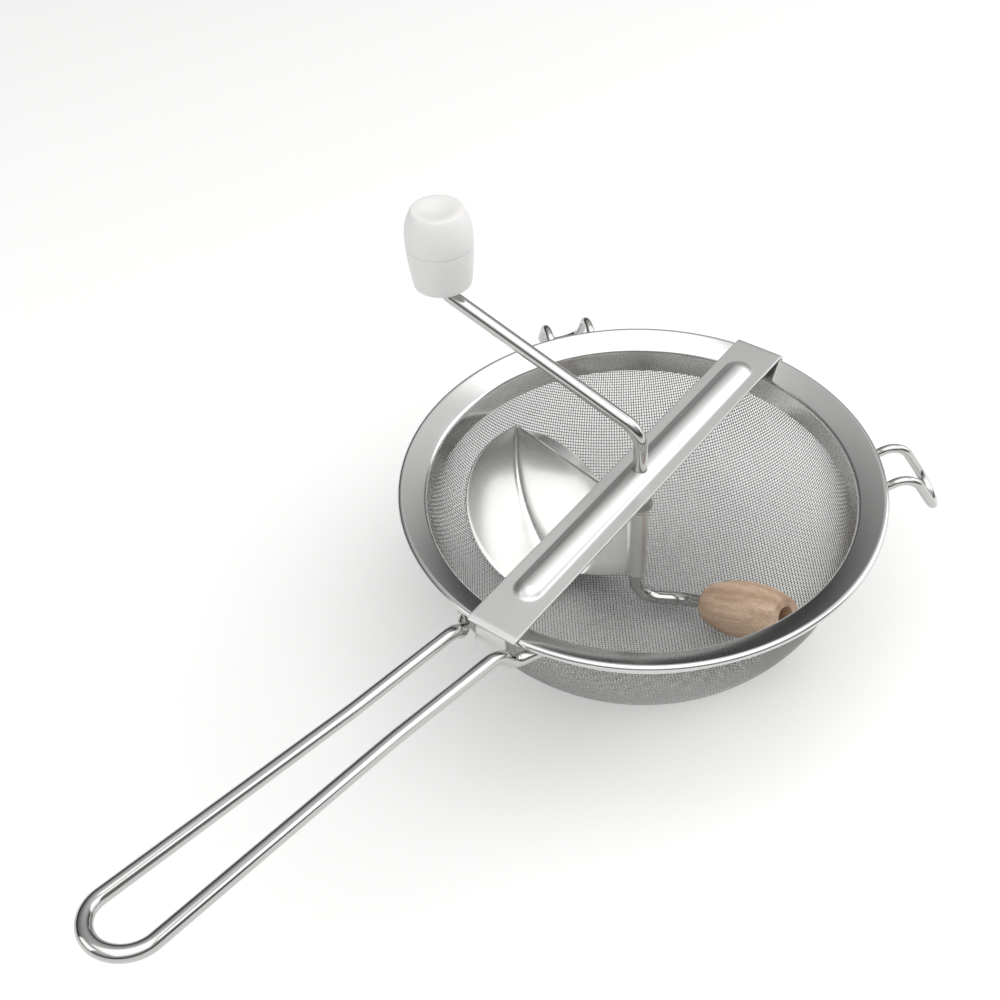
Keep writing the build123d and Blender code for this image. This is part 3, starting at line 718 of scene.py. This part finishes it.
# %% Bridge strip
def bridge_rings():
    """Closed loops round the sheet at stations along the bridge."""
    reach = BEAD_CENTRE + BRIDGE_UNDER
    tab = (-reach - FLARE_LENGTH * math.sin(FLARE), -TONGUE_DROP - FLARE_LENGTH * math.cos(FLARE))
    corners = [(reach, -LIP_DROP), (reach, BRIDGE_UNDER), (-reach, BRIDGE_UNDER),
               (-reach, -TONGUE_DROP), tab]
    path = rounded(corners, [BRIDGE_UNDER, BRIDGE_UNDER, TONGUE_BEND], turn_step=6.0)
    path = dense(path, 0.9)
    shoulder = path[(path[:, 0] < -RIM_RADIUS) & (path[:, 1] > 0)][0]
    path = path[np.r_[True, np.linalg.norm(np.diff(path, axis=0), axis=1) > 1e-6]]
    run = np.r_[0, np.linalg.norm(np.diff(path, axis=0), axis=1).cumsum()]
    near = run[np.argmin(np.linalg.norm(path - shoulder, axis=1))]
    ease = 1 - np.cos(np.linspace(0, math.pi / 2, 10))
    ends = [near - 1e-3, near + 1e-3, *(run[-1] - TONGUE_CORNER * ease), *(LIP_CORNER * ease)]
    stations = np.unique(np.round(np.r_[run, ends], 4))
    x, z = np.interp(stations, run, path[:, 0]), np.interp(stations, run, path[:, 1])
    ahead = np.stack([np.gradient(x, stations), np.gradient(z, stations)], 1)
    ahead /= np.linalg.norm(ahead, axis=1, keepdims=True)
    normal = np.stack([ahead[:, 1], -ahead[:, 0]], 1)
    left = run[-1] - stations
    cut = np.maximum(TONGUE_CORNER - left, 0)
    half = np.where(stations < near, STRIP_HALF, TONGUE_HALF)
    half = half - (TONGUE_CORNER - np.sqrt(np.maximum(TONGUE_CORNER ** 2 - cut ** 2, 0.02)))
    start = np.maximum(LIP_CORNER - stations, 0)
    half = half - (LIP_CORNER - np.sqrt(np.maximum(LIP_CORNER ** 2 - start ** 2, 0.02)))
    share = np.linspace(-1, 1, STRIP_COLUMNS)
    y = (half - STRIP_EDGE)[:, None] * share
    flat = (np.abs(x) < RIM_RADIUS - 5)[:, None]
    distance = np.hypot(x[:, None] - np.clip(x, RIB_NEAR, RIB_FAR)[:, None], y)
    distance = np.where(flat, distance, RIB_HALF + 1)
    upper, lower = STRIP + rib_rise(distance, 0.0), STRIP + rib_rise(distance, STRIP)
    angle = np.linspace(90, -90, 6)[1:-1]
    bow_y = STRIP_EDGE * np.cos(np.radians(angle))
    bow_z = STRIP_EDGE * np.sin(np.radians(angle))
    bow_z = np.where(bow_z > 0, STRIP - STRIP_EDGE + bow_z, STRIP_EDGE + bow_z)
    side_y = (half - STRIP_EDGE)[:, None] + bow_y
    loop_y = np.concatenate([y, side_y, y[:, ::-1], -side_y[:, ::-1]], 1)
    side_z = np.broadcast_to(bow_z, side_y.shape)
    loop_h = np.concatenate([upper, side_z, lower[:, ::-1], side_z[:, ::-1]], 1)
    loop_x = x[:, None] + normal[:, :1] * loop_h
    loop_z = z[:, None] + normal[:, 1:] * loop_h
    return np.stack([loop_x, loop_y, loop_z], -1)


def apply_modifiers(piece):
    """Turn a piece's live modifiers into its mesh."""
    depsgraph = bpy.context.evaluated_depsgraph_get()
    made = bpy.data.meshes.new_from_object(piece.evaluated_get(depsgraph))
    piece.modifiers.clear()
    piece.data = made


def cut_round_hole(piece, radius, low, high):
    """Cut an upright round hole on the Z axis, as a punch does."""
    verts, faces, _ = lathe([(0, low), (radius, low), (radius, high), (0, high)], 64, closed=False)
    mesh = bpy.data.meshes.new("punch")
    mesh.from_pydata((verts * MM).tolist(), [],
                     [f if f[0] != f[3] else f[1:] for f in faces.tolist()])
    punch = bpy.data.objects.new("punch", mesh)
    scene.collection.objects.link(punch)
    cut = piece.modifiers.new("hole", "BOOLEAN")
    cut.operation, cut.solver, cut.object = "DIFFERENCE", "EXACT", punch
    apply_modifiers(piece)
    bpy.data.objects.remove(punch)


bridge = make_piece("bridge_strip_pressed", "bridge", "bridge_steel", bridge_steel,
                    *loft(bridge_rings(), caps=True), stands_for=["bridge_strip"], sharp=40.0)
cut_round_hole(bridge, HOLE_RADIUS, -5.0, 12.0)

# %% [markdown]
# ## Crank, roller and knob
# One rod makes the crank. It is bent in an upright plane: a pin for the knob, an arm, the shaft
# through the bridge, and a J at the foot that becomes the roller's axle.

# %% Crank rod
ROD_RADIUS = 3.0
CRANK_AZIMUTH = math.radians(97.0)
CRANK_REACH = 89.0
ARM_SLOPE = math.tan(math.radians(24.3))
ELBOW_LEVEL = 25.6
PIN_LENGTH = 30.0
PIN_BEND, ELBOW_BEND = 6.0, 13.0
FOOT_SHARE, TOE_SHARE = 0.5, 0.27
AXLE_PAST = 2.6  # axle beyond the floor of the roller's recess
ROLLER_LATITUDE = math.radians(30.0)
ROLLER_SKEW = math.radians(15.0)
ROLLER_RADIUS, ROLLER_END_RADIUS, ROLLER_LENGTH = 12.5, 8.6, 43.0
ROLLER_RECESS = 9.0
ROLLER_GAP = 0.45
ROLLER_CHAMFER, RECESS_RADIUS, BORE_RADIUS = 0.8, 4.35, 3.1
FLOOR_GAP = 4.0
crank_out = np.array([math.cos(CRANK_AZIMUTH), math.sin(CRANK_AZIMUTH), 0.0])
roller_hang = KNEE_RADIUS - ROLLER_GAP - ROLLER_RADIUS
crank_side = np.array([-crank_out[1], crank_out[0], 0.0])
roller_x = KNEE_CENTRE + roller_hang * math.sin(ROLLER_LATITUDE)
roller_z = -WALL_DEPTH - roller_hang * math.cos(ROLLER_LATITUDE)
foot_level = FLOOR_CENTRE - FLOOR_RADIUS + FLOOR_GAP + ROD_RADIUS
axle_slope = math.atan(math.tan(ROLLER_LATITUDE) * math.cos(ROLLER_SKEW))
roller_centre = -crank_out * roller_x + np.array([0, 0, roller_z])
axle_out = (math.cos(axle_slope) * (crank_side * math.sin(ROLLER_SKEW)
                                    - crank_out * math.cos(ROLLER_SKEW))
            + np.array([0, 0, math.sin(axle_slope)]))


def crank_path():
    """The rod's corner points: pin, arm, shaft, a short run along the floor, and the axle."""
    reach = ROLLER_LENGTH / 2 - ROLLER_RECESS + AXLE_PAST
    pin = ELBOW_LEVEL + CRANK_REACH * ARM_SLOPE
    toe = roller_centre - axle_out * (roller_z - foot_level) / axle_out[2]
    run = math.hypot(toe[0], toe[1])
    along = np.array([toe[0], toe[1], 0]) / run
    toe_turn = math.acos(float(along @ axle_out))
    flat = [crank_out * CRANK_REACH + (0, 0, pin + PIN_LENGTH),
            crank_out * CRANK_REACH + (0, 0, pin),
            np.array([0, 0, ELBOW_LEVEL]), np.array([0, 0, foot_level]), toe,
            roller_centre + axle_out * reach]
    bends = [PIN_BEND, ELBOW_BEND, FOOT_SHARE * run, TOE_SHARE * run / math.tan(toe_turn / 2)]
    return rounded(flat, bends, turn_step=3.0)


make_piece("crank_rod_bent", "crank", "wire_steel", wire_steel,
           *tube(dense(crank_path(), 6.0), ROD_RADIUS, 40), stands_for=["crank_rod"])

# %% Roller
axle_side = np.cross(axle_out, crank_out)
axle_side /= np.linalg.norm(axle_side)
axle_place = np.eye(4)
axle_place[:3, :3] = np.stack([axle_side, np.cross(axle_out, axle_side), axle_out], 1)
axle_place[:3, 3] = roller_centre


def roller_profile():
    """Barrel: an arc through both ends and the middle, eased end faces, a bore and a recess."""
    half, rise = ROLLER_LENGTH / 2, ROLLER_RADIUS - ROLLER_END_RADIUS
    reach = half - ROLLER_CHAMFER
    bow = (reach ** 2 + rise ** 2) / (2 * rise)
    swing = math.degrees(math.asin(reach / bow))
    barrel = arc((ROLLER_RADIUS - bow, 0), bow, -swing, swing, 40)
    face = ROLLER_END_RADIUS - ROLLER_CHAMFER
    floor = half - ROLLER_RECESS
    ends = rounded([barrel[-1], (face, half), (RECESS_RADIUS, half), (RECESS_RADIUS, floor),
                    (BORE_RADIUS, floor), (BORE_RADIUS, -half), (face, -half), barrel[0]],
                   [0.5, 0.4, 0.2, 0.1, 0.3, 0.5])
    return np.concatenate([barrel, ends[1:-1]])


beech = beech_material(axle_place[:3, :3], (axle_place[:3, 3] * MM).tolist())
make_piece("roller_turned", "roller", "beech", beech,
           *lathe(roller_profile(), 96, place=axle_place), stands_for=["roller"], sharp=50.0)

# %% [markdown]
# The knob is two mouldings, a body on the pin and a cap that snaps over it, so a fine dark line
# runs round its middle. Its side swells to a widest girth above the middle and draws in to a
# slightly dished top.

# %% Knob
KNOB_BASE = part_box("knob_body")[0][2] / MM
KNOB_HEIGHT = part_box("knob_cap")[1][2] / MM - KNOB_BASE
KNOB_WIDEST = 0.62
KNOB_SPLIT = 0.55
KNOB_LINE = 0.15
GIRTH, BASE_DRAW, TOP_DRAW = 13.58, 1.85, 3.3  # widest radius, and how far each end draws in
BASE_POWER, TOP_POWER = 1.7, 2.3
KNOB_FOOT, NECK_RADIUS, NECK_HEIGHT = 10.6, 9.0, 5.0
DISH_RADIUS, DISH_DEPTH, CAP_WALL = 7.0, 1.2, 4.4
CAP_PLAY, CAP_ROOM, CAP_SHOULDER, CAP_ROUND = 0.05, 0.2, 0.8, 1.3
pin_place = np.eye(4)
pin_place[:3, 3] = crank_out * CRANK_REACH


def knob_girth(share):
    """Radius of the knob at a share of its height: two power curves that meet at the widest."""
    below = np.clip((KNOB_WIDEST - share) / KNOB_WIDEST, 0, 1) ** BASE_POWER
    above = np.clip((share - KNOB_WIDEST) / (1 - KNOB_WIDEST), 0, 1) ** TOP_POWER
    return GIRTH - BASE_DRAW * below - TOP_DRAW * above


split_level = KNOB_BASE + KNOB_HEIGHT * KNOB_SPLIT
share = np.linspace(0.03, KNOB_SPLIT, 20)
body_side = np.stack([knob_girth(share), KNOB_BASE + KNOB_HEIGHT * share], 1)
body_profile = rounded([(BORE_RADIUS, KNOB_BASE), (KNOB_FOOT, KNOB_BASE), body_side[0]], 0.5)
neck_level = split_level + NECK_HEIGHT
body_top = rounded([body_side[-1], (NECK_RADIUS, split_level), (NECK_RADIUS, neck_level),
                    (BORE_RADIUS, neck_level)], 0.3)
make_piece("knob_body_moulded", "knob", "knob_plastic", knob_plastic,
           *lathe(np.concatenate([body_profile, body_side[1:-1], body_top]), 128, place=pin_place),
           stands_for=["knob_body"])
share = np.linspace(KNOB_SPLIT + KNOB_LINE / KNOB_HEIGHT, 0.97, 24)
cap_side = np.stack([knob_girth(share), KNOB_BASE + KNOB_HEIGHT * share], 1)
top = KNOB_BASE + KNOB_HEIGHT
inward = np.linspace(DISH_RADIUS, 0, 9)
dish = np.stack([inward, top - DISH_DEPTH * (1 - (inward / DISH_RADIUS) ** 2)], 1)
cap_top = rounded([cap_side[-1], (cap_side[-1][0] - CAP_SHOULDER, top), (DISH_RADIUS, top)],
                  CAP_ROUND)
inner, roof = NECK_RADIUS + CAP_PLAY, neck_level + CAP_ROOM
hollow = rounded([(0, top - CAP_WALL), (DISH_RADIUS, top - CAP_WALL), (DISH_RADIUS, roof),
                  (inner, roof), (inner, cap_side[0][1]), cap_side[0]], 0.2)
cap_profile = np.concatenate([hollow, cap_side[1:-1], cap_top, dish[1:]])
make_piece("knob_cap_moulded", "knob", "knob_plastic", knob_plastic,
           *lathe(cap_profile, 128, closed=False, place=pin_place), stands_for=["knob_cap"])

# %% [markdown]
# ## The blade
# The blade is one disc of sheet, dished like the bowl and folded up into a tall web that reaches
# the shaft. The disc follows the bowl a small gap inside the mesh, so a station is a length
# along the bowl's meridian, and at each station the sheet runs from its left edge to the fold,
# up to the ridge, down again and out to its right edge. The disc's edge is a circle on the
# unrolled bowl. The folds are eased with short curves, as a press leaves them.

# %% Blade sizes
BLADE_SHEET = 0.8
BLADE_GAP = 0.6  # from the mesh
BLADE_INSET = BLADE_GAP + BLADE_SHEET / 2
FOLD_EASE, RIDGE_EASE = 4.0, 1.1
EASE_FROM = 4    # columns before the left fold at which its easing starts
DISC_RADIUS = 39.4
DISC_AZIMUTH, BLADE_AZIMUTH = math.radians(83.8), math.radians(73.5)
DISC_LATITUDE = math.radians(52.6)
LEAN_LEFT, LEAN_RIGHT = math.tan(math.radians(20.0)), math.tan(math.radians(8.0))
RIDGE_OUT, RIDGE_IN = -29.0, -17.7
FOOT_RADIUS, FOOT_LEVEL, SHAFT_FOOT = 34.0, -72.0, -52.0
SLEEVE_RADIUS = 4.52
disc_run = FLOOR_RUN + KNEE_RUN - KNEE_RADIUS * DISC_LATITUDE


# %% Blade
NO_AREA = 1e-4  # cells that the fold has closed up


def blade_grid():
    """At each station along the bowl: its radius and height, the ridge's level, the lowest level
    of the web, and the turns from the ridge to the foot of each fold and each edge of the disc."""
    out_radius = KNEE_CENTRE + math.sqrt((KNEE_RADIUS - BLADE_INSET) ** 2
                                         - (RIDGE_OUT + WALL_DEPTH) ** 2)
    web_end = FLOOR_RUN + KNEE_RADIUS * (math.asin((out_radius - KNEE_CENTRE)
                                                   / (KNEE_RADIUS - BLADE_INSET)) - FLOOR_SLOPE)
    swing = np.linspace(-math.pi / 2, math.pi / 2, 61)
    run = np.unique(np.r_[disc_run + DISC_RADIUS * np.sin(swing), web_end,
                          np.linspace(SLEEVE_RADIUS, disc_run - DISC_RADIUS, 30)])
    radius, height, _ = meridian(run, BLADE_INSET)
    ridge = RIDGE_IN + (RIDGE_OUT - RIDGE_IN) * radius / out_radius
    foot = SHAFT_FOOT + (FOOT_LEVEL - SHAFT_FOOT) * radius / FOOT_RADIUS
    low = np.where(radius < FOOT_RADIUS, np.maximum(height, foot), height)
    drop = np.maximum(ridge - low, 0)
    base_left = np.arctan2(LEAN_LEFT * drop, radius)
    base_right = -np.arctan2(LEAN_RIGHT * drop, radius)
    spread = np.sqrt(np.maximum(DISC_RADIUS ** 2 - (run - disc_run) ** 2, 0)) / radius
    disc_turn = DISC_AZIMUTH - BLADE_AZIMUTH
    edge_left, edge_right = disc_turn + spread, disc_turn - spread
    return radius, height, ridge, low, base_left, base_right, edge_left, edge_right


def eased(a, corner, b, ease, count=5):
    """A short curve that rounds a fold: a parabola between points at a distance from it."""
    def back(towards):
        span = np.linalg.norm(towards - corner, axis=1, keepdims=True)
        return corner + (towards - corner) * np.minimum(ease, 0.45 * span) / np.maximum(span, 1e-9)
    start, end = back(a), back(b)
    t = np.linspace(0, 1, count)[None, :, None]
    return (1 - t) ** 2 * start[:, None] + 2 * t * (1 - t) * corner[:, None] + t ** 2 * end[:, None]


def blade_sheet():
    """The sheet's middle face in parts, left to right, and where each side has a disc."""
    radius, height, ridge, low, base_l, base_r, edge_l, edge_r = blade_grid()

    def at(turn, level):
        """Points on each station's cylinder at a turn from the blade and a level."""
        angle = BLADE_AZIMUTH + turn
        return np.stack([radius * np.cos(angle), radius * np.sin(angle), level + 0 * turn], -1)

    foot_l, foot_r, top = at(base_l, low), at(base_r, low), at(0 * base_l, ridge)
    share = np.linspace(0, 1, 15)
    left = np.stack([at(edge_l + (base_l - edge_l) * k, height) for k in share], 1)
    right_side = np.stack([at(base_r + (edge_r - base_r) * k, height) for k in share], 1)
    has_left, has_right = edge_l > base_l, edge_r < base_r
    fold_l = eased(left[:, -EASE_FROM], foot_l, top, FOLD_EASE)
    fold_r = eased(top, foot_r, right_side[:, 1], RIDGE_EASE)
    fold_l = np.where(has_left[:, None, None], fold_l, foot_l[:, None])
    fold_r = np.where(has_right[:, None, None], fold_r, foot_r[:, None])
    peak = eased(foot_l, top, foot_r, RIDGE_EASE)
    return left[:, :1 - EASE_FROM], fold_l, peak, fold_r, right_side[:, 1:], has_left, has_right


def blade_faces():
    """Join the parts into one grid, and keep the cells that are sheet."""
    left, fold_l, peak, fold_r, right_side, has_left, has_right = blade_sheet()
    climb = np.linspace(0, 1, 8)[1:-1, None]
    up = fold_l[:, -1:] + (peak[:, :1] - fold_l[:, -1:]) * climb[None]
    down = peak[:, -1:] + (fold_r[:, :1] - peak[:, -1:]) * climb[None]
    grid = np.concatenate([left, fold_l, up, peak, down, fold_r, right_side], 1)
    rows, cols = grid.shape[:2]
    index = np.arange(rows * cols).reshape(rows, cols)
    cells = np.stack([index[:-1, :-1], index[:-1, 1:], index[1:, 1:], index[1:, :-1]], -1)
    keep = np.ones((rows - 1, cols - 1), bool)
    n_left, n_right = left.shape[1] + 2, right_side.shape[1] + 2
    keep[:, :n_left] &= (has_left[:-1] & has_left[1:])[:, None]
    keep[:, -n_right:] &= (has_right[:-1] & has_right[1:])[:, None]
    faces = cells[keep]
    verts = grid.reshape(-1, 3)
    a, b, c, d = (verts[faces[:, k]] for k in range(4))
    area = np.linalg.norm(np.cross(c - a, d - b), axis=1)
    faces = faces[area > NO_AREA]
    used, back = np.unique(faces, return_inverse=True)
    return verts[used], back.reshape(-1, 4)


MERGE, BLADE_EDGE = 0.02, 0.15
verts, faces = blade_faces()
blade = make_piece("paddle_folded", "crank", "blade_steel", blade_steel, verts, faces,
                   stands_for=["paddle"], sharp=60.0)
weld = blade.modifiers.new("merge", "WELD")
weld.merge_threshold = MERGE * MM
thick = blade.modifiers.new("sheet", "SOLIDIFY")
thick.thickness, thick.offset = BLADE_SHEET * MM, 0.0
ease = blade.modifiers.new("edge", "BEVEL")
ease.width, ease.segments, ease.limit_method = BLADE_EDGE * MM, 2, "ANGLE"
ease.angle_limit = math.radians(60)

# %% [markdown]
# ## Small hardware
# The spring under the bridge presses the crank down. It squashes when the crank lifts, so it is
# a wire of its own, carried along a helix. The washers, clips and the sleeve are simple turned
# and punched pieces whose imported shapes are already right; they only need their steel.

# %% Spring
SPRING_RADIUS, SPRING_WIRE, SPRING_TURNS = 4.0, 0.5, 6.0
STEPS_A_TURN = 28
spring_low, spring_high = (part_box("spring")[k][2] / MM for k in (0, 1))
turns = np.linspace(0, SPRING_TURNS, int(SPRING_TURNS * STEPS_A_TURN))
climb = np.interp(turns, (0, SPRING_TURNS), (spring_low + SPRING_WIRE, spring_high - SPRING_WIRE))
helix = np.stack([SPRING_RADIUS * np.cos(2 * math.pi * turns),
                  SPRING_RADIUS * np.sin(2 * math.pi * turns), climb], 1)
spring = make_piece("spring_coiled", "bridge", "spring_steel", spring_steel,
                    *tube(helix, SPRING_WIRE, 12, blunt=0.1), stands_for=["spring"])
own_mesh(spring)

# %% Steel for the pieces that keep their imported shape
for name, finish in (("rim_wire", wire_steel), ("thrust_washer", bridge_steel),
                     ("stop_clip", spring_steel), ("paddle_sleeve", bridge_steel),
                     ("roller_inner_washer", bridge_steel), ("roller_push_nut", spring_steel),
                     ("knob_push_nut", spring_steel)):
    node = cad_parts[name]
    node.data.materials.clear()
    node.data.materials.append(finish)

# %% [markdown]
# ## Light and floor
# Polished steel shows the room it stands in. A pale room with one wide soft box above gives the
# flange its even grey, and a narrow strip on each side draws the bright lines along the wires.
# A darker low band in the room gives every rod a dark edge to stand out with. That band is only
# met in reflections: looked at directly, the backdrop is a plain pale sheet.

# %% Floor
FLOOR_DROP = 0.0005
FLOOR_SIZE = 4.0
floor_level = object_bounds()[0][2] - FLOOR_DROP
corners = [(-FLOOR_SIZE, -FLOOR_SIZE), (FLOOR_SIZE, -FLOOR_SIZE), (FLOOR_SIZE, FLOOR_SIZE),
           (-FLOOR_SIZE, FLOOR_SIZE)]
floor_mesh = bpy.data.meshes.new("floor")
floor_mesh.from_pydata([(x, y, floor_level) for x, y in corners], [], [(0, 1, 2, 3)])
floor = bpy.data.objects.new("floor", floor_mesh)
scene.collection.objects.link(floor)
floor_paint, _, shader = new_material("pale_floor", Roughness=0.7)
shader.inputs["Base Color"].default_value = linear("#f6f6f5")
floor_mesh.materials.append(floor_paint)


# %% Lights
def soft_box(name, place, aim, size, power):
    """A rectangular area light at a place, facing a point, its power in watts."""
    light = bpy.data.lights.new(name, "AREA")
    light.shape, light.size, light.size_y, light.energy = "RECTANGLE", size[0], size[1], power
    lamp = bpy.data.objects.new(name, light)
    scene.collection.objects.link(lamp)
    out = np.array(place, float) - np.array(aim, float)
    out /= np.linalg.norm(out)
    side = np.cross((0, 0, 1.0), out) if abs(out[2]) < 0.99 else np.array([1.0, 0, 0])
    side /= np.linalg.norm(side)
    top = np.cross(out, side)
    lamp.matrix_world = Matrix([[*v] for v in np.c_[np.stack([side, top, out], 1),
                                                    np.array(place, float)]] + [[0, 0, 0, 1]])
    return lamp


soft_box("sky_box", (-0.25, -0.45, 1.5), (0, 0, 0), (2.2, 2.2), 15.5)
soft_box("side_box", (1.12, -0.85, 0.66), (0, 0, -0.03), (1.2, 1.3), 8.0)
soft_box("left_box", (-1.05, 0.62, 0.52), (0, 0, 0), (0.7, 0.7), 2.4)

# %% Room
world = bpy.data.worlds.new("room")
scene.world = world
world.use_nodes = True
tree = world.node_tree
tree.nodes.clear()
toward = add(tree, "ShaderNodeSeparateXYZ",
             Vector=add(tree, "ShaderNodeTexCoord").outputs["Generated"])
height = add(tree, "ShaderNodeMapRange", Value=toward.outputs["Z"], From_Min=-1.0, From_Max=1.0)
ramp = add(tree, "ShaderNodeValToRGB", Fac=height.outputs[0])
stops = ramp.color_ramp.elements
stops[0].position, stops[0].color = 0.0, (0.8, 0.8, 0.8, 1)
stops[1].position, stops[1].color = 1.0, (1.0, 1.0, 1.0, 1)
for position, level in ((0.49, 0.72), (0.53, 0.06), (0.61, 0.12), (0.73, 0.55), (0.86, 0.88)):
    stop = stops.new(position)
    stop.color = (level, level, level, 1)
far_side = add(tree, "ShaderNodeMapRange", Value=toward.outputs["Y"], From_Min=0.15, From_Max=0.85,
               To_Min=1.0, To_Max=0.42)
shade = add(tree, "ShaderNodeVectorMath", {"operation": "SCALE"}, Vector=ramp.outputs["Color"],
            Scale=far_side.outputs[0])
glow = add(tree, "ShaderNodeBackground", Color=shade.outputs["Vector"], Strength=1.0)
pale = add(tree, "ShaderNodeBackground", Color=linear("#f2f2f1"), Strength=1.0)
backdrop = add(tree, "ShaderNodeMixShader",
               _0=add(tree, "ShaderNodeLightPath").outputs["Is Camera Ray"],
               _1=glow.outputs[0], _2=pale.outputs[0])
tree.links.new(backdrop.outputs[0], add(tree, "ShaderNodeOutputWorld").inputs["Surface"])
scene.view_settings.view_transform = "Standard"
